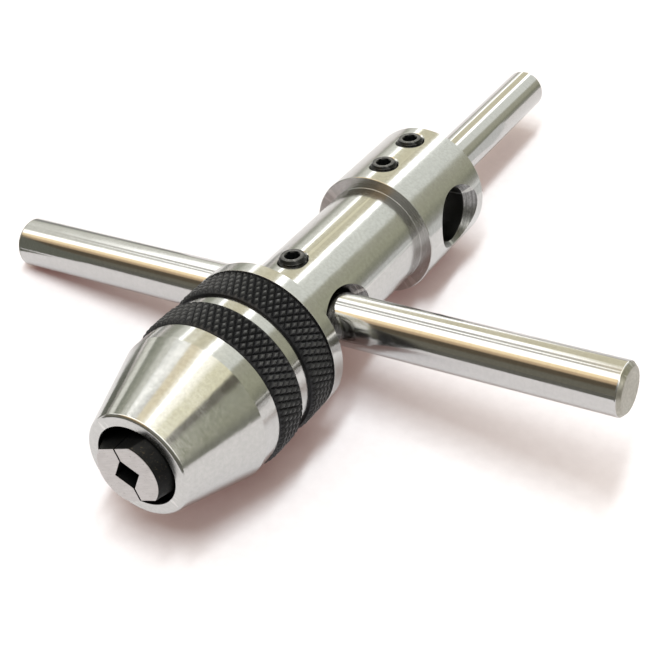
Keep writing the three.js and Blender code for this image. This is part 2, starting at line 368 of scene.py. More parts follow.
FINE_RELIEF = 0.02 * MM
LINE_RELIEF = 0.03 * MM
WAVE_RELIEF = 0.1 * MM
EDGE_HIGHLIGHT = (0.8, 0.8, 0.78)


def scaled(colour, factor):
    return tuple(c * factor for c in colour)


def turned_metal(name, tint, roughness, grooves=0.10, groove_scale=6.0, axis="Y", aniso=0.55,
                 streaks=0.05, rings=0.0, waves=0.0):
    """Machined metal: tool marks that follow the profile, drifting roughness, and a painted
    highlight on sharp edges. grooves and waves are strengths of bump, streaks and rings
    strengths of colour."""
    material, n, shader = new_material(name)
    at = n.object_mm()
    along = n.add("ShaderNodeAttribute", attribute_name="lathe").outputs["Fac"]
    fine = n.noise(groove_scale, 1.5, 0.6, w=along)
    wide = n.noise(0.9, 2.0, 0.6, w=along)
    cloud = n.noise(0.12, 3.0, 0.6, vector=at)
    mottle = n.noise(1.3, 3.0, 0.65, vector=at)
    speck = n.noise(2.3, 1.0, 0.5, vector=at)
    # Sharp convex edges, found by pointiness, for the painted edge highlight
    edge = n.ramp(n.add("ShaderNodeNewGeometry").outputs["Pointiness"], 0.52, 0.58)

    dark, light = scaled(tint, 1 - streaks), scaled(tint, 1 + streaks)
    colour = n.mix(n.ramp(mottle, 0.3, 0.7), dark, light)
    colour = n.mix(n.ramp(wide, 0.5, 0.75, 0.0, 0.3), colour, scaled(tint, 0.93))
    colour = n.mix(n.ramp(speck, 0.76, 0.80, 0.0, 0.4), colour, scaled(tint, 0.55))
    colour = n.mix(n.ramp(fine, 0.42, 0.62, 0.0, rings), colour, scaled(tint, 0.4))
    # Painted highlight: sharp edges mixed halfway to a pale grey
    colour = n.mix(n.math("MULTIPLY", edge, 0.5), colour, EDGE_HIGHLIGHT)
    n.put(shader.inputs["Base Color"], colour)

    rough = n.ramp(fine, 0.3, 0.7, roughness * 0.85, roughness * 1.15, smooth=False)
    rough = n.math("ADD", rough, n.ramp(cloud, 0.3, 0.7, -0.02, 0.03))
    n.put(shader.inputs["Roughness"], rough)
    n.put(shader.inputs["Metallic"], 1.0)
    n.put(shader.inputs["Anisotropic"], aniso)
    n.put(shader.inputs["Anisotropic Rotation"], 0.25)
    tangent = n.add("ShaderNodeTangent", direction_type="RADIAL", axis=axis)
    n.put(shader.inputs["Tangent"], tangent.outputs[0])
    normal = n.bump(fine, grooves, FINE_RELIEF)
    if waves:
        normal = n.bump(n.noise(0.45, 2.0, 0.55, vector=at), waves, WAVE_RELIEF, normal)
    n.put(shader.inputs["Normal"], normal)
    return material


def oxide(name, base, wear_and_glint_colour, roughness, attribute=None, speckle=False):
    """Oiled black oxide: a dull black skin, lightened towards its wear-and-glint colour in random
    specks of wear, in a painted glint where an attribute says so, or at the edges, which is
    part wear and part painted highlight."""
    material, n, shader = new_material(name)
    at = n.object_mm()
    cloud = n.noise(0.5, 4.0, 0.6, vector=at)
    grain = n.noise(9.0, 2.0, 0.6, vector=at)
    if speckle:
        spots = n.noise(2.6, 2.0, 0.6, vector=at)
        wear_and_glint = n.ramp(spots, 0.60, 0.72, 0.0, 0.8)
    # Painted glint where the attribute is high: the knurl's crests
    elif attribute:
        wear_and_glint = n.add("ShaderNodeAttribute", attribute_name=attribute).outputs["Fac"]
        wear_and_glint = n.math("MULTIPLY", wear_and_glint, n.ramp(cloud, 0.3, 0.65, 0.45, 1.0))
    else:
        # Edges lightened: part wear, part painted highlight
        edge = n.ramp(n.add("ShaderNodeNewGeometry").outputs["Pointiness"], 0.51, 0.57)
        wear_and_glint = n.math("MULTIPLY", edge, n.ramp(cloud, 0.35, 0.65, 0.25, 0.9))
    n.put(shader.inputs["Base Color"], n.mix(wear_and_glint, base, wear_and_glint_colour))
    n.put(shader.inputs["Metallic"], 0.8)
    rough = n.ramp(cloud, 0.3, 0.7, roughness * 0.8, roughness * 1.2)
    n.put(shader.inputs["Roughness"], n.mix_float(wear_and_glint, rough, roughness * 0.75))
    n.put(shader.inputs["Normal"], n.bump(grain, 0.15, FINE_RELIEF))
    return material


def ground_metal(name, tint, roughness):
    """A surface ground flat in one direction, along the object's X."""
    material, n, shader = new_material(name)
    at = n.object_mm()
    stretch = n.add("ShaderNodeVectorMath", operation="MULTIPLY")
    n.put(stretch.inputs[0], at)
    n.put(stretch.inputs[1], (0.35, 3.0, 9.0))
    lines = n.noise(1.0, 4.0, 0.7, vector=stretch.outputs[0])
    cloud = n.noise(0.5, 3.0, 0.6, vector=at)
    speck = n.noise(3.1, 1.0, 0.5, vector=at)
    colour = n.mix(n.ramp(lines, 0.3, 0.7), scaled(tint, 0.86), tint)
    colour = n.mix(n.ramp(speck, 0.68, 0.74, 0.0, 0.5), colour, scaled(tint, 0.4))
    n.put(shader.inputs["Base Color"], colour)
    n.put(shader.inputs["Metallic"], 1.0)
    n.put(shader.inputs["Roughness"], n.ramp(cloud, 0.3, 0.7, roughness * 0.8, roughness * 1.2))
    n.put(shader.inputs["Normal"], n.bump(lines, 0.2, LINE_RELIEF))
    return material


build_world()
build_floor()
build_lights()

STEEL = (0.575, 0.575, 0.568)
turned_steel = turned_metal("turned_steel", STEEL, 0.16, waves=0.18)
bright_steel = turned_metal("bright_steel", (0.58, 0.575, 0.572), 0.12, grooves=0.05,
                            groove_scale=9.0, streaks=0.03)
end_steel = turned_metal("end_steel", (0.41, 0.395, 0.35), 0.42, grooves=0.2, groove_scale=3.0,
                         aniso=0.3, streaks=0.12)
# Bores drawn nearly black: painted shade inside the holes
bore_painted_shade = turned_metal("bore_painted_shade", (0.10, 0.10, 0.098), 0.36, grooves=0.3, groove_scale=3.0)
sunk_steel = turned_metal("sunk_steel", (0.25, 0.25, 0.25), 0.3, grooves=0.6, groove_scale=2.2,
                          aniso=0.2, streaks=0.25, rings=0.5)
faced_steel = turned_metal("faced_steel", (0.57, 0.565, 0.555), 0.22, grooves=0.1,
                           groove_scale=4.0, rings=0.03)
jaw_steel = ground_metal("jaw_steel", (0.60, 0.575, 0.57), 0.36)
spring_steel = turned_metal("spring_steel", (0.46, 0.46, 0.46), 0.3, axis="X")
inner_oxide = oxide("inner_oxide", (0.008, 0.008, 0.0085), (0.045, 0.036, 0.024), 0.5,
                    speckle=True)
# Knurl: its crests are lightened in a painted glint, from the knurl mesh's attribute
knurl_oxide = oxide("knurl_oxide", (0.016, 0.016, 0.018), (0.085, 0.085, 0.088), 0.42, "wear_and_glint")
# Screws: edges lightened, part wear and part painted highlight
screw_oxide = oxide("screw_oxide", (0.016, 0.016, 0.016), (0.14, 0.135, 0.13), 0.26)

# ----------------------------------------
# Turned shapes
# ----------------------------------------
AXES = {
    "Y": np.array([[1, 0, 0], [0, 0, 1], [0, 1, 0]], float),
    "X": np.array([[0, 0, 1], [0, 1, 0], [1, 0, 0]], float),
    "Z": np.array([[0, 1, 0], [1, 0, 0], [0, 0, 1]], float),
}
ARC_STEP = math.radians(12)
ON_AXIS = 1e-6
SHORTEST = 1e-7
TINY = 1e-9


def outward(direction):
    """The direction turned a quarter clockwise, which points out of the material."""
    return np.array([direction[1], -direction[0]])


def rounded_segments(corners, closed):
    """Segments (p0, n0, p1, n1, zone) of a profile of (radius, along, rounding, zone) corners.
    The material lies to the left of the profile, and the normals point away from it."""
    points = [np.array(c[:2], float) for c in corners]
    rounding = [c[2] if len(c) > 2 else 0.0 for c in corners]
    zones = [c[3] if len(c) > 3 else 0 for c in corners]
    count = len(points)
    trimmed = []
    for i, point in enumerate(points):
        inner = closed or 0 < i < count - 1
        before = point - points[i - 1]
        after = points[(i + 1) % count] - point
        if not inner or rounding[i] <= 0:
            trimmed.append((point, point, None))
            continue
        d1, d2 = before / np.linalg.norm(before), after / np.linalg.norm(after)
        a1, a2 = math.atan2(d1[1], d1[0]), math.atan2(d2[1], d2[0])
        turn = (a2 - a1 + math.pi) % (2 * math.pi) - math.pi
        cut = rounding[i] * math.tan(abs(turn) / 2)
        side = 1 if turn > 0 else -1
        centre = point - d1 * cut - side * rounding[i] * outward(d1)
        steps = max(2, math.ceil(abs(turn) / ARC_STEP))
        arc = []
        for k in range(steps + 1):
            a = a1 + turn * k / steps
            normal = outward(np.array([math.cos(a), math.sin(a)]))
            arc.append((centre + side * rounding[i] * normal, normal))
        trimmed.append((arc[0][0], arc[-1][0], arc))
    segments = []
    for i in range(count if closed else count - 1):
        j = (i + 1) % count
        p0, p1 = trimmed[i][1], trimmed[j][0]
        d = p1 - p0
        length = np.linalg.norm(d)
        if length > SHORTEST:
            normal = outward(d / length)
            segments.append((p0, normal, p1, normal, zones[i]))
        if trimmed[j][2] is not None and (closed or j < count - 1):
            arc = trimmed[j][2]
            for (q0, m0), (q1, m1) in zip(arc, arc[1:]):
                segments.append((q0, m0, q1, m1, zones[i]))
    return segments


class Turned:
    """A surface of revolution about one axis of the tool."""

    def __init__(self, corners, closed=False, axis="Y", at=(0, 0, 0)):
        self.segments = rounded_segments(corners, closed)
        self.closed = closed
        self.basis = AXES[axis]
        self.at = np.array(at, float)
        lengths = [np.linalg.norm(s[2] - s[0]) for s in self.segments]
        self.along = np.concatenate([[0], np.cumsum(lengths)])

    def mesh(self, name, facets):
        """A closed mesh with exact normals, and the way along its profile as an attribute."""
        rings = [s[0] for s in self.segments]
        if not self.closed:
            rings.append(self.segments[-1][2])
        angle = np.arange(facets) * 2 * math.pi / facets
        radial = np.cos(angle)[:, None] * self.basis[0] + np.sin(angle)[:, None] * self.basis[1]
        points, first = [], []
        for r, along in rings:
            first.append(len(points))
            if r < ON_AXIS:
                points.append(self.at + along * self.basis[2])
            else:
                points.extend(self.at + r * radial + along * self.basis[2])
        faces, normals, lathe, zones = [], [], [], []
        for k, (p0, n0, p1, n1, zone) in enumerate(self.segments):
            a, b = first[k], first[(k + 1) % len(rings)]
            for i in range(facets):
                j = (i + 1) % facets
                if p0[0] < ON_AXIS:
                    corners = [(a, n0, i, 0), (b + i, n1, i, 1), (b + j, n1, j, 1)]
                elif p1[0] < ON_AXIS:
                    corners = [(a + i, n0, i, 0), (b, n1, i, 1), (a + j, n0, j, 0)]
                else:
                    corners = [(a + i, n0, i, 0), (b + i, n1, i, 1),
                               (b + j, n1, j, 1), (a + j, n0, j, 0)]
                faces.append([c[0] for c in corners])
                for _, normal, at, end in corners:
                    normals.append(normal[0] * radial[at] + normal[1] * self.basis[2])
                    lathe.append(self.along[k + end])
                zones.append(zone)
        mesh = bpy.data.meshes.new(name)
        mesh.from_pydata([tuple(p * MM) for p in points], [], faces)
        mesh.polygons.foreach_set("material_index", zones)
        finish_normals(mesh, np.array(normals), np.array(lathe))
        return mesh


def finish_normals(mesh, normals, lathe):
    """Writes a normal and the way along the profile to every corner of the mesh."""
    attribute = mesh.attributes.new("lathe", "FLOAT", "CORNER")
    attribute.data.foreach_set("value", lathe.astype(np.float32))
    mesh.polygons.foreach_set("use_smooth", np.ones(len(mesh.polygons), bool))
    lengths = np.linalg.norm(normals, axis=1, keepdims=True)
    mesh.normals_split_custom_set((normals / np.maximum(lengths, TINY)).tolist())
    mesh.update()


def true_normals(mesh, surfaces):
    """After cuts, gives each face the exact normals of the turned surface that it came from.
    surfaces is a list of (Turned, 1 for material or -1 for a drill). A face belongs to the
    nearest surface within reach, in millimetres, whose normal has at least this cosine to its
    own."""
    reach, cosine = 0.03, 0.93
    count = len(mesh.polygons)
    centres = np.empty(count * 3)
    facing = np.empty(count * 3)
    start = np.empty(count, int)
    total = np.empty(count, int)
    mesh.polygons.foreach_get("center", centres)
    mesh.polygons.foreach_get("normal", facing)
    mesh.polygons.foreach_get("loop_start", start)
    mesh.polygons.foreach_get("loop_total", total)
    centres = centres.reshape(-1, 3) / MM
    facing = facing.reshape(-1, 3)
    points = np.empty(len(mesh.vertices) * 3)
    mesh.vertices.foreach_get("co", points)
    points = points.reshape(-1, 3) / MM
    corner = np.empty(len(mesh.loops), int)
    mesh.loops.foreach_get("vertex_index", corner)
    face_of = np.repeat(np.arange(count), total)
    at_loop = points[corner]
    normals = facing[face_of].copy()
    lathe = np.zeros(len(corner))
    zones = np.zeros(count, int)
    mesh.polygons.foreach_get("material_index", zones)
    best = np.full(count, reach)

    for turned, sign in surfaces:
        local = (centres - turned.at) @ turned.basis.T
        r = np.hypot(local[:, 0], local[:, 1])
        flat = facing @ turned.basis.T
        normal_r = (flat[:, 0] * local[:, 0] + flat[:, 1] * local[:, 1]) / np.maximum(r, TINY)
        where = np.stack([r, local[:, 2]], 1)
        loop_local = (at_loop - turned.at) @ turned.basis.T
        loop_r = np.hypot(loop_local[:, 0], loop_local[:, 1])
        radial = loop_local[:, :2] / np.maximum(loop_r, TINY)[:, None]
        for k, (p0, n0, p1, n1, zone) in enumerate(turned.segments):
            d = p1 - p0
            length = np.linalg.norm(d)
            t = np.clip(((where - p0) @ d) / length**2, 0, 1)
            away = np.linalg.norm(where - (p0 + t[:, None] * d), axis=1)
            middle = (n0 + n1) / np.linalg.norm(n0 + n1)
            agree = sign * (normal_r * middle[0] + flat[:, 2] * middle[1])
            chosen = (agree > cosine) & (away < best)
            if not chosen.any():
                continue
            best[chosen] = away[chosen]
            zones[chosen] = zone
            loops = chosen[face_of]
            spot = np.stack([loop_r[loops], loop_local[loops, 2]], 1)
            u = np.clip(((spot - p0) @ d) / length**2, 0, 1)[:, None]
            profile = (1 - u) * n0 + u * n1
            made = (profile[:, :1] * radial[loops, :1] * turned.basis[0]
                    + profile[:, :1] * radial[loops, 1:] * turned.basis[1]
                    + profile[:, 1:] * turned.basis[2])
            normals[loops] = sign * made
            lathe[loops] = turned.along[k] + u[:, 0] * length
    mesh.polygons.foreach_set("material_index", zones)
    finish_normals(mesh, normals, lathe)


def cut_mesh(name, mesh, cutters, operation="DIFFERENCE"):
    """The mesh less each cutter mesh, or with operation INTERSECT what it shares with them."""
    scene = bpy.context.scene.collection
    target = bpy.data.objects.new(name + "_blank", mesh)
    scene.objects.link(target)
    tools = []
    for i, cutter in enumerate(cutters):
        tool = bpy.data.objects.new(f"{name}_tool_{i}", cutter)
        scene.objects.link(tool)
        modifier = target.modifiers.new("cut", "BOOLEAN")
        modifier.operation = operation
        modifier.solver = "EXACT"
        modifier.object = tool
        tools.append(tool)
    bpy.context.view_layer.update()
    graph = bpy.context.evaluated_depsgraph_get()
    made = bpy.data.meshes.new_from_object(target.evaluated_get(graph))
    made.name = name
    for o in [target, *tools]:
        bpy.data.objects.remove(o)
    return made


def soften(mesh, degrees):
    """Smooth shading, with edges sharper than this kept crisp."""
    mesh.polygons.foreach_set("use_smooth", np.ones(len(mesh.polygons), bool))
    mesh.set_sharp_from_angle(angle=math.radians(degrees))


def tube_mesh(name, points, count):
    """A closed mesh through sections of count points each, capped at both ends."""
    faces = []
    for a in range(0, len(points) - count, count):
        for i in range(count):
            j = (i + 1) % count
            faces.append((a + i, a + j, a + count + j, a + count + i))
    faces.append(tuple(reversed(range(count))))
    faces.append(tuple(range(len(points) - count, len(points))))
    mesh = bpy.data.meshes.new(name)
    mesh.from_pydata([tuple(c * MM for c in p) for p in points], [], faces)
    return mesh


def ring_faces(pairs, count):
    """Quads between pairs of rings of count points, each given by its first point."""
    faces = []
    for a, b in pairs:
        for i in range(count):
            j = (i + 1) % count
            faces.append((a + i, b + i, b + j, a + j))
    return faces


def put_piece(name, mesh, body, materials, nodes=(), local=None):
    """Places a mesh drawn in the tool's frame, or in local within it, on its body."""
    piece = bpy.data.objects.new(name, mesh)
    bpy.context.scene.collection.objects.link(piece)
    for material in materials:
        mesh.materials.append(material)
    piece.matrix_world = TOOL @ local if local is not None else TOOL
    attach(piece, body)
    if nodes:
        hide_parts(*nodes)
    return piece


# ----------------------------------------
# Dimensions: the CAD's, but for a smaller fillet at the collar, and the fine edges and threads
# ----------------------------------------
GAP = 0.3
EDGE = 0.4
ROUND = 0.12
BROKEN_EDGE = 0.15

SLEEVE_R = 17.3
NOSE_R = 11.2
MOUTH_R = 8.6
MOUTH_LENGTH = 1.1
CONE_END = 17.7
CONE_END_R = 16.6
FRONT_KNURL = (22.2, 30.1)
REAR_KNURL = (33.4, 41.3)
GROOVE_R = 16.2
SLEEVE_END = 44.7
THREAD_BORE_R = 13.2
RING_GROOVE = (41.6, 43.4)
RING_GROOVE_R = 14.3

BODY_R = 11.8
FORK_START = 6.0
FORK_START_R = 10.0
THREAD = (14.0, 36.0)
THREAD_PITCH = 1.5
SLOT_WIDTH = 12.0
SLOT_END = 20.0
SHANK_BORE_R = 4.2
SHANK_BORE_END = 42.0
COLLAR_R = 14.4
COLLAR = (87.0, 112.3)
COLLAR_FILLET = 0.1
ROD_BORE_END = 66.0
ROD_BORE_MOUTH_R = 6.2

BAR_R = 5.5
BAR_Y = 55.8
BAR_ENDS = (-73.9, 72.2)
BAR_CHAMFER = 0.9
CROSS_BORE_R = 6.1
CROSS_BORE_Z = 0.3
COUNTERSINK_R = 8.5
SPARE_BORE_Y = 100.8

ROD_R = 4.95
ROD_ENDS = (88.0, 166.3)
ROD_CHAMFER = 0.8

JAW_ANGLE = math.radians(19)
JAW_TAPER = math.tan(math.radians(20))
JAW_FRONT = -2.75
JAW_FRONT_R = 6.9
JAW_BACK_R = 10.6
JAW_END = 19.6
JAW_WIDTH = SLOT_WIDTH - 2 * GAP
JAW_SLIT = 0.4
SQUARE_FLATS = 4.5
NOTCH_END = 13.0

SPRING_Y = 16.3
SPRING_OFFSET = 3.0
SPRING_COIL_R = 0.95
SPRING_WIRE_R = 0.25
SPRING_HALF = 3.4
SPRING_TURNS = 6
POCKET_R = 1.5
POCKET_DEPTH = 3.8

SCREW_R = 3.0
SCREW_PITCH = 1.0
SCREW_THREAD_DEPTH = 0.42
SCREW_RIM = 0.55
SCREW_POINT_R = SCREW_R * 0.55
SCREW_CUP = 0.5
SOCKET_FLATS = 3.0
SOCKET_DEPTH = 3.0
BAR_SCREW_LENGTH = 7.0
ROD_SCREW_LENGTH = 9.75
ROD_SCREWS_Y = (93.8, 105.8)
SCREW_HOLE_R = 3.16

STOP_RING_R = (12.3, 13.95)
STOP_RING_Y = (42.0, 43.0)
STOP_RING_GAP = math.radians(40)

BEYOND = 30.0

FACETS = 192
SLEEVE_FACETS = 256
BAR_FACETS = 128
DRILL_FACETS = 64
POCKET_FACETS = 32
SCREW_COLUMNS = 96
SCREW_ROWS_PER_TURN = 12
COIL_STEPS_PER_TURN = 32
WIRE_FACETS = 12
STOP_RING_STEPS = 160


# ----------------------------------------
# Chuck sleeve
# ----------------------------------------
KNURL_STEP = 0.06


def seat_radius(y):
    """Radius of the cone inside the sleeve that the jaws ride on."""
    return JAW_FRONT_R + (y - JAW_FRONT) * JAW_TAPER + GAP / math.cos(math.atan(JAW_TAPER))


def build_sleeve():
    seat = seat_radius(MOUTH_LENGTH)
    thread_start = MOUTH_LENGTH + (THREAD_BORE_R - seat) / JAW_TAPER
    profile = Turned([
        (MOUTH_R, 0, 0.15),
        (NOSE_R - EDGE, 0, 0.7),
        (NOSE_R, EDGE, 0.7),
        (CONE_END_R, CONE_END, 0.2),
        (CONE_END_R, FRONT_KNURL[0] + KNURL_STEP, 0.02),
        (GROOVE_R, FRONT_KNURL[0] + KNURL_STEP),
        (GROOVE_R, REAR_KNURL[1] - KNURL_STEP),
        (SLEEVE_R, REAR_KNURL[1] - KNURL_STEP, 0.08),
        (SLEEVE_R, SLEEVE_END - EDGE, ROUND),
        (SLEEVE_R - EDGE, SLEEVE_END, ROUND),
        (THREAD_BORE_R + 0.5, SLEEVE_END, 0.05),
        (THREAD_BORE_R, SLEEVE_END - 0.5, 0, 1),
        (THREAD_BORE_R, RING_GROOVE[1], 0, 1),
        (RING_GROOVE_R, RING_GROOVE[1], 0, 1),
        (RING_GROOVE_R, RING_GROOVE[0], 0, 1),
        (THREAD_BORE_R, RING_GROOVE[0], 0, 1),
        (THREAD_BORE_R, thread_start, 0, 1),
        (seat, MOUTH_LENGTH, 0, 1),
        (MOUTH_R, MOUTH_LENGTH / 2, 0, 1),
    ], closed=True)
    put_piece("sleeve_shell", profile.mesh("sleeve_shell", SLEEVE_FACETS), "sleeve",
              [turned_steel, inner_oxide], ["chuck_sleeve"])


KNURL_TEETH = 68
KNURL_ROW = 1.4
KNURL_STEPS = 4
KNURL_DEPTH = 0.5
KNURL_RIM = 0.6
KNURL_PROFILE = (0.0, 0.36, 0.72, 0.96, 1.0, 0.96, 0.72, 0.36)
KNURL_PHASE = math.radians(1.85)
KNURL_CHAMFER = EDGE * 0.6
KNURL_RIM_DROP = KNURL_DEPTH * 0.9
KNURL_RIM_GLINT = 0.75
KNURL_GLINT_FROM = 0.6
KNURL_FOOT = 0.14
KNURL_BED = 0.1


def build_knurl(name, span):
    """A closed ring whose outside is cut by two families of crossing helical grooves."""
    start, end = span
    turn_step = 2 * math.pi / KNURL_TEETH / (2 * KNURL_STEPS)
    row_step = KNURL_ROW / KNURL_STEPS
    columns = KNURL_TEETH * 2 * KNURL_STEPS
    low, high = start + KNURL_CHAMFER, end - KNURL_CHAMFER
    rows = round((high - low) / row_step)
    height = np.array([*KNURL_PROFILE, KNURL_PROFILE[0]])

    def tooth(s):
        s = np.mod(s, 2 * KNURL_STEPS)
        return np.interp(s, np.arange(2 * KNURL_STEPS + 1), height)

    def surface(i, j):
        i, j = np.broadcast_arrays(np.asarray(i, float), np.asarray(j, float))
        # Crest height, which also sets the painted glint on the crests
        wear_and_glint = np.minimum(tooth(i + j), tooth(i - j))
        angle = i * turn_step + KNURL_PHASE
        y = low + j * (high - low) / rows
        inset = np.minimum(j, rows - j) * (high - low) / rows
        crest = SLEEVE_R - KNURL_RIM_DROP * np.clip(1 - inset / KNURL_RIM, 0, 1)
        r = np.minimum(SLEEVE_R - KNURL_DEPTH * (1 - wear_and_glint), crest)
        # The painted glint is weaker on the chamfered rims
        wear_and_glint = np.where(inset < KNURL_RIM, wear_and_glint * KNURL_RIM_GLINT, wear_and_glint)
        return np.stack([r * np.cos(angle), y, r * np.sin(angle)], -1), wear_and_glint

    i_grid, j_grid = np.meshgrid(np.arange(columns), np.arange(rows + 1))
    outer, outer_glint = surface(i_grid.ravel(), j_grid.ravel())
    i_mid, j_mid = np.meshgrid(np.arange(columns) + 0.5, np.arange(rows) + 0.5)
    centre, centre_glint = surface(i_mid.ravel(), j_mid.ravel())
    angle = np.arange(columns) * turn_step + KNURL_PHASE
    circle = np.stack([np.cos(angle), np.zeros(columns), np.sin(angle)], -1)
    lift = np.array([0, 1, 0])
    foot_r, bed_r = SLEEVE_R - KNURL_DEPTH - KNURL_FOOT, GROOVE_R - KNURL_BED
    rims = [circle * bed_r + lift * start, circle * foot_r + lift * start,
            circle * foot_r + lift * end, circle * bed_r + lift * end]
    points = np.concatenate([outer, centre, *rims])
    wear_and_glint = np.concatenate([outer_glint, centre_glint, np.zeros(4 * columns)])
    mid0 = len(outer)
    rim0 = [mid0 + len(centre) + k * columns for k in range(4)]

    faces = []
    for j in range(rows):
        for i in range(columns):
            k = (i + 1) % columns
            a, b = j * columns + i, j * columns + k
            c, d = a + columns, b + columns
            m = mid0 + j * columns + i
            faces += [(a, c, m), (c, d, m), (d, b, m), (b, a, m)]
    last = rows * columns
    strips = [(rim0[0], rim0[1]), (rim0[1], 0), (last, rim0[2]), (rim0[2], rim0[3]),
              (rim0[3], rim0[0])]
    faces += ring_faces(strips, columns)
    mesh = bpy.data.meshes.new(name)
    mesh.from_pydata((points * MM).tolist(), [], faces)
    # Painted glint on the crests, stored for the oxide to lighten
    attribute = mesh.attributes.new("wear_and_glint", "FLOAT", "POINT")
    crest_glint = np.clip((wear_and_glint - KNURL_GLINT_FROM) / (1 - KNURL_GLINT_FROM), 0, 1)
    attribute.data.foreach_set("value", crest_glint.astype(np.float32))
    mesh.update()
    put_piece(name, mesh, "sleeve", [knurl_oxide])


# ----------------------------------------
# Spindle
# ----------------------------------------
def thread_corners(outer, start, end, pitch, depth):
    """Corners of the ridges of a male thread between two places, in shares of its pitch."""
    corners = []
    for k in range(int((end - start) / pitch)):
        y = start + k * pitch
        corners += [(outer - depth, y + pitch * 0.06), (outer, y + pitch * 0.44),
                    (outer, y + pitch * 0.56), (outer - depth, y + pitch * 0.94)]
    return corners


def block_mesh(name, size, centre, angle):
    """A box about the spindle, turned about it by angle from +X towards +Z."""
    hx, hy, hz = (s / 2 for s in size)
    c, s = math.cos(angle), math.sin(angle)
    points = []
    for dx, dy, dz in [(x, y, z) for x in (-hx, hx) for y in (-hy, hy) for z in (-hz, hz)]:
        x, y, z = dx + centre[0], dy + centre[1], dz + centre[2]
        points.append(((x * c - z * s) * MM, y * MM, (x * s + z * c) * MM))
    faces = [(0, 1, 3, 2), (4, 6, 7, 5), (0, 4, 5, 1), (2, 3, 7, 6), (0, 2, 6, 4), (1, 5, 7, 3)]
    mesh = bpy.data.meshes.new(name)
    mesh.from_pydata(points, [], faces)
    return mesh


def cross_drill(shaft_r, y):
    """The T-bar's hole through a shaft, countersunk at both ends."""
    straight = shaft_r - (COUNTERSINK_R - CROSS_BORE_R)
    flare = CROSS_BORE_R + (BEYOND - straight)
    return Turned([(0, -BEYOND, 0, 2), (flare, -BEYOND, 0, 2), (CROSS_BORE_R, -straight, 0.3, 1),
                   (CROSS_BORE_R, straight, 0.3, 2), (flare, BEYOND, 0, 2), (0, BEYOND)],
                  axis="X", at=(0, y, CROSS_BORE_Z))


def screw_drill(shaft_r, y):
    """A set screw's hole from the axis outwards, with a small lead-in."""
    lead = 0.45
    return Turned([(0, 0), (SCREW_HOLE_R, 0), (SCREW_HOLE_R, shaft_r - lead),
                   (SCREW_HOLE_R + 2 * lead, shaft_r + lead), (SCREW_HOLE_R + 2 * lead, BEYOND),
                   (0, BEYOND)], axis="Z", at=(0, y, 0))


def build_spindle():
    rod_bore = ROD_R + GAP
    thread_r = THREAD_BORE_R - GAP
    shaft = Turned([
        (0, FORK_START),
        (FORK_START_R, FORK_START, 0.2),
        (thread_r, THREAD[0]),
        *thread_corners(thread_r, THREAD[0] + 0.5, THREAD[1] - 1.4, THREAD_PITCH, 0.7),
        (BODY_R, THREAD[1] - 1),
        (BODY_R, COLLAR[0], COLLAR_FILLET, 3),
        (COLLAR_R - BROKEN_EDGE, COLLAR[0], BROKEN_EDGE / 2),
        (COLLAR_R, COLLAR[0] + BROKEN_EDGE, BROKEN_EDGE / 2),
        (COLLAR_R, COLLAR[1] - EDGE, ROUND),
        (COLLAR_R - EDGE, COLLAR[1], ROUND, 3),
        (ROD_BORE_MOUTH_R, COLLAR[1], 0.05),
        (rod_bore, COLLAR[1] - (ROD_BORE_MOUTH_R - rod_bore), 0, 1),
        (rod_bore, ROD_BORE_END, 0, 1),
        (0, ROD_BORE_END),
    ])
    shank_bore = Turned([(0, -1, 0, 1), (SHANK_BORE_R, -1, 0, 1),
                         (SHANK_BORE_R, SHANK_BORE_END, 0, 1), (0, SHANK_BORE_END + 2)])
    drills = [
        (shank_bore, DRILL_FACETS),
        (cross_drill(BODY_R, BAR_Y), BAR_FACETS),
        (cross_drill(COLLAR_R, SPARE_BORE_Y), BAR_FACETS),
        (screw_drill(BODY_R, BAR_Y), DRILL_FACETS),
        *[(screw_drill(COLLAR_R, y), DRILL_FACETS) for y in ROD_SCREWS_Y],
    ]
    slot = block_mesh("slot", (2 * BEYOND, SLOT_END, SLOT_WIDTH), (0, SLOT_END / 2, 0), JAW_ANGLE)
    cutters = [slot, *[d.mesh("drill", facets) for d, facets in drills]]
    mesh = cut_mesh("spindle_steel", shaft.mesh("shaft", FACETS), cutters)
    true_normals(mesh, [(shaft, 1), *[(d, -1) for d, _ in drills]])
    put_piece("spindle_steel", mesh, "spindle",
              [turned_steel, bore_painted_shade, sunk_steel, faced_steel], ["spindle_body"])


# ----------------------------------------
# T-bar and guide rod
# ----------------------------------------
def build_bar(name, radius, ends, chamfer, body, node, axis, at):
    """A drawn bar, bright along its side and matt where its ends were faced and chamfered."""
    bar = Turned([(0, ends[0], 0, 1), (radius - chamfer, ends[0], 0.3, 1),
                  (radius, ends[0] + chamfer, 0.5, 0), (radius, ends[1] - chamfer, 0.5, 1),
                  (radius - chamfer, ends[1], 0.3, 1), (0, ends[1])], axis=axis, at=at)
    materials = []
    for metal in (bright_steel, end_steel):
        material = metal.copy()
        material.name = name + "_" + metal.name
        for tree_node in material.node_tree.nodes:
            if tree_node.type == "TANGENT":
                tree_node.axis = axis
        materials.append(material)
    put_piece(name, bar.mesh(name, BAR_FACETS), body, materials, [node])


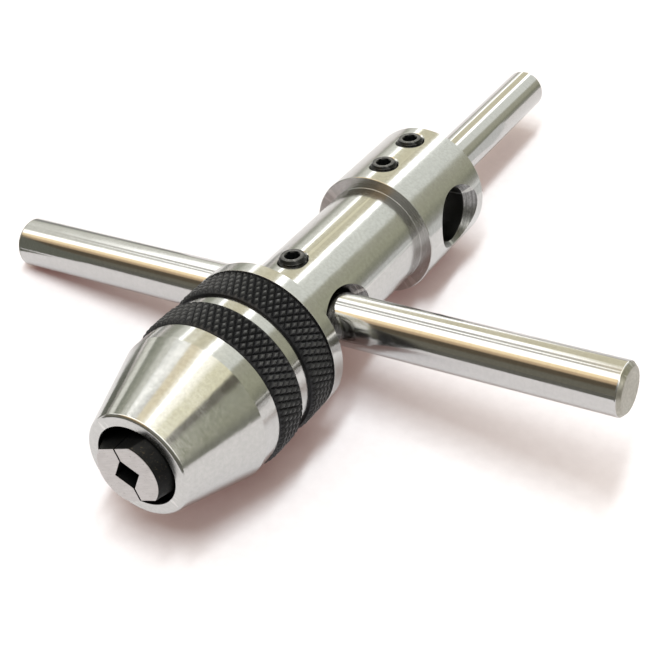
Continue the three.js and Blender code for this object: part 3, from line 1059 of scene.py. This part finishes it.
# ----------------------------------------
# Jaws
# ----------------------------------------
def build_jaw(name, side, node):
    """Half of the split cone, with half of the square hole and two spring pockets."""
    cone_end = JAW_FRONT + (JAW_BACK_R - JAW_FRONT_R) / JAW_TAPER
    back = Turned([(0, JAW_FRONT), (JAW_FRONT_R, JAW_FRONT, 0.12), (JAW_BACK_R, cone_end, 0.3),
                   (JAW_BACK_R, JAW_END, 0.2), (0, JAW_END)])
    half = block_mesh("half", (BEYOND, 2 * BEYOND, JAW_WIDTH),
                      (JAW_SLIT / 2 + BEYOND / 2, 0, 0), 0)
    notch_length = NOTCH_END - JAW_FRONT + 1
    notch = block_mesh("notch", (SQUARE_FLATS, notch_length, SQUARE_FLATS),
                       (0, NOTCH_END - notch_length / 2, 0), math.pi / 4)
    pockets = [Turned([(0, -POCKET_DEPTH), (POCKET_R, -POCKET_DEPTH), (POCKET_R, POCKET_DEPTH),
                       (0, POCKET_DEPTH)], axis="X", at=(0, SPRING_Y, place * SPRING_OFFSET))
               for place in (-1, 1)]
    mesh = cut_mesh(name, back.mesh("back", FACETS), [half], "INTERSECT")
    mesh = cut_mesh(name, mesh, [notch, *[p.mesh("pocket", POCKET_FACETS) for p in pockets]])
    true_normals(mesh, [(back, 1), *[(p, -1) for p in pockets]])
    # Only the front face is ground bright
    zones = [0 if p.normal.y < -0.7 and p.center.y < 0 else 1 for p in mesh.polygons]
    mesh.polygons.foreach_set("material_index", zones)
    turn = Matrix.Rotation(-JAW_ANGLE + (math.pi if side < 0 else 0), 4, "Y")
    put_piece(name, mesh, node, [jaw_steel, inner_oxide], [node], turn)


# ----------------------------------------
# Set screws
# ----------------------------------------
def thread_radius(height, length, angle):
    """Radius of the screw's helical thread, cut down by chamfers at its rim and its point."""
    phase = np.mod(height / SCREW_PITCH - angle / (2 * math.pi), 1.0)
    ridge = 1 - np.abs(phase - 0.5) * 2
    r = SCREW_R - SCREW_THREAD_DEPTH * np.clip((ridge - 0.18) / 0.7, 0, 1)
    r = np.minimum(r, SCREW_R - SCREW_RIM + (length - height) * 0.8)
    return np.minimum(r, SCREW_POINT_R + height)


def screw_rings(length, angle):
    """Rings of points: the cup's edge and floor, the thread upwards, then into the socket."""
    def ring(radius, height):
        radius = np.broadcast_to(radius, angle.shape)
        return np.stack([radius * np.sin(angle), radius * np.cos(angle),
                         np.full(len(angle), height)], -1)

    rows = round(length / SCREW_PITCH * SCREW_ROWS_PER_TURN)
    heights = [length * j / rows for j in range(rows + 1)]
    socket_r = SOCKET_FLATS / 2 / np.cos(np.mod(angle, math.pi / 3) - math.pi / 6)
    lead_r = np.maximum(socket_r, SOCKET_FLATS / 2 * 1.13)
    depth = length - SOCKET_DEPTH
    return [ring(SCREW_POINT_R - 0.25, 0.0), ring(0.35, SCREW_CUP),
            *[ring(thread_radius(height, length, angle), height) for height in heights],
            ring(SCREW_R - SCREW_RIM - 0.12, length), ring(lead_r, length),
            ring(socket_r, length - 0.25), ring(socket_r, depth), ring(0.9, depth - 0.3)]


def build_screw(name, length, y, z, body, node):
    """A cup-point set screw: helical thread outside, chamfered rim and a hexagon socket."""
    angle = np.arange(SCREW_COLUMNS) * 2 * math.pi / SCREW_COLUMNS
    rings = screw_rings(length, angle)
    first = np.arange(len(rings)) * SCREW_COLUMNS
    pairs = [(first[0], first[2]), *zip(first[2:-1], first[3:]), (first[1], first[0])]
    faces = ring_faces(pairs, SCREW_COLUMNS)
    cup_middle = len(rings) * SCREW_COLUMNS
    socket_middle = cup_middle + 1
    points = np.concatenate([*rings, [[0, 0, SCREW_CUP]],
                             [[0, 0, length - SOCKET_DEPTH - 0.5]]])
    for i in range(SCREW_COLUMNS):
        j = (i + 1) % SCREW_COLUMNS
        faces.append((cup_middle, first[1] + i, first[1] + j))
        faces.append((first[-1] + i, socket_middle, first[-1] + j))
    mesh = bpy.data.meshes.new(name)
    mesh.from_pydata((points * MM).tolist(), [], faces)
    soften(mesh, 32)
    put_piece(name, mesh, body, [screw_oxide], [node],
              Matrix.Translation(Vector((0, y, z)) * MM))


# ----------------------------------------
# Springs and snap ring
# ----------------------------------------
def swept(name, path, section):
    """A section carried along a path of points without twisting."""
    path = np.array(path, float)
    tangent = np.gradient(path, axis=0)
    tangent /= np.linalg.norm(tangent, axis=1, keepdims=True)
    side = np.cross(tangent[0], [0.0, 1.0, 0.3])
    points = []
    for place, direction in zip(path, tangent):
        side = side - direction * (side @ direction)
        side /= np.linalg.norm(side)
        other = np.cross(direction, side)
        points += [place + a * side + b * other for a, b in section]
    return tube_mesh(name, points, len(section))


def build_spring(name, side, node):
    """A coil spring across the slit between the jaws."""
    steps = SPRING_TURNS * COIL_STEPS_PER_TURN
    t = np.linspace(0, 1, steps + 1)
    turn = t * SPRING_TURNS * 2 * math.pi
    path = np.stack([(2 * t - 1) * (SPRING_HALF - SPRING_WIRE_R),
                     SPRING_Y + SPRING_COIL_R * np.cos(turn),
                     side * SPRING_OFFSET + SPRING_COIL_R * np.sin(turn)], -1)
    wire = [(SPRING_WIRE_R * math.cos(a), SPRING_WIRE_R * math.sin(a))
            for a in np.arange(WIRE_FACETS) * 2 * math.pi / WIRE_FACETS]
    mesh = swept(name, path, wire)
    soften(mesh, 50)
    put_piece(name, mesh, "spindle", [spring_steel], [node],
              Matrix.Rotation(-JAW_ANGLE, 4, "Y"))


def build_stop_ring():
    """The snap ring: a flat ring, open on the -X side, with rounded edges."""
    inner, outer = STOP_RING_R
    low, high = STOP_RING_Y
    soft = 0.1
    section = [(inner + soft, low), (outer - soft, low), (outer, low + soft),
               (outer, high - soft), (outer - soft, high), (inner + soft, high),
               (inner, high - soft), (inner, low + soft)]
    angles = np.linspace(math.pi + STOP_RING_GAP / 2, 3 * math.pi - STOP_RING_GAP / 2,
                         STOP_RING_STEPS + 1)
    points = [(r * math.cos(a), y, r * math.sin(a)) for a in angles for r, y in section]
    mesh = tube_mesh("snap_ring", points, len(section))
    soften(mesh, 40)
    put_piece("snap_ring", mesh, "stop_ring", [spring_steel],
              ["sleeve_stop_ring"])


build_sleeve()
build_knurl("knurl_front", FRONT_KNURL)
build_knurl("knurl_rear", REAR_KNURL)
build_spindle()
build_bar("cross_bar", BAR_R, BAR_ENDS, BAR_CHAMFER, "t_bar", "t_bar", "X", (0, BAR_Y, 0))
build_bar("pilot_rod", ROD_R, ROD_ENDS, ROD_CHAMFER, "guide_rod", "guide_rod", "Y", (0, 0, 0))
build_jaw("jaw_block_right", 1, "jaw_right")
build_jaw("jaw_block_left", -1, "jaw_left")
build_screw("bar_screw_threaded", BAR_SCREW_LENGTH, BAR_Y, BAR_R + GAP, "bar_screw",
            "bar_set_screw")
build_screw("rod_screw_front_threaded", ROD_SCREW_LENGTH, ROD_SCREWS_Y[0], ROD_R + GAP,
            "rod_screw_front", "rod_set_screw_front")
build_screw("rod_screw_rear_threaded", ROD_SCREW_LENGTH, ROD_SCREWS_Y[1], ROD_R + GAP,
            "rod_screw_rear", "rod_set_screw_rear")
build_spring("spring_coil_upper", 1, "jaw_spring_upper")
build_spring("spring_coil_lower", -1, "jaw_spring_lower")
build_stop_ring()
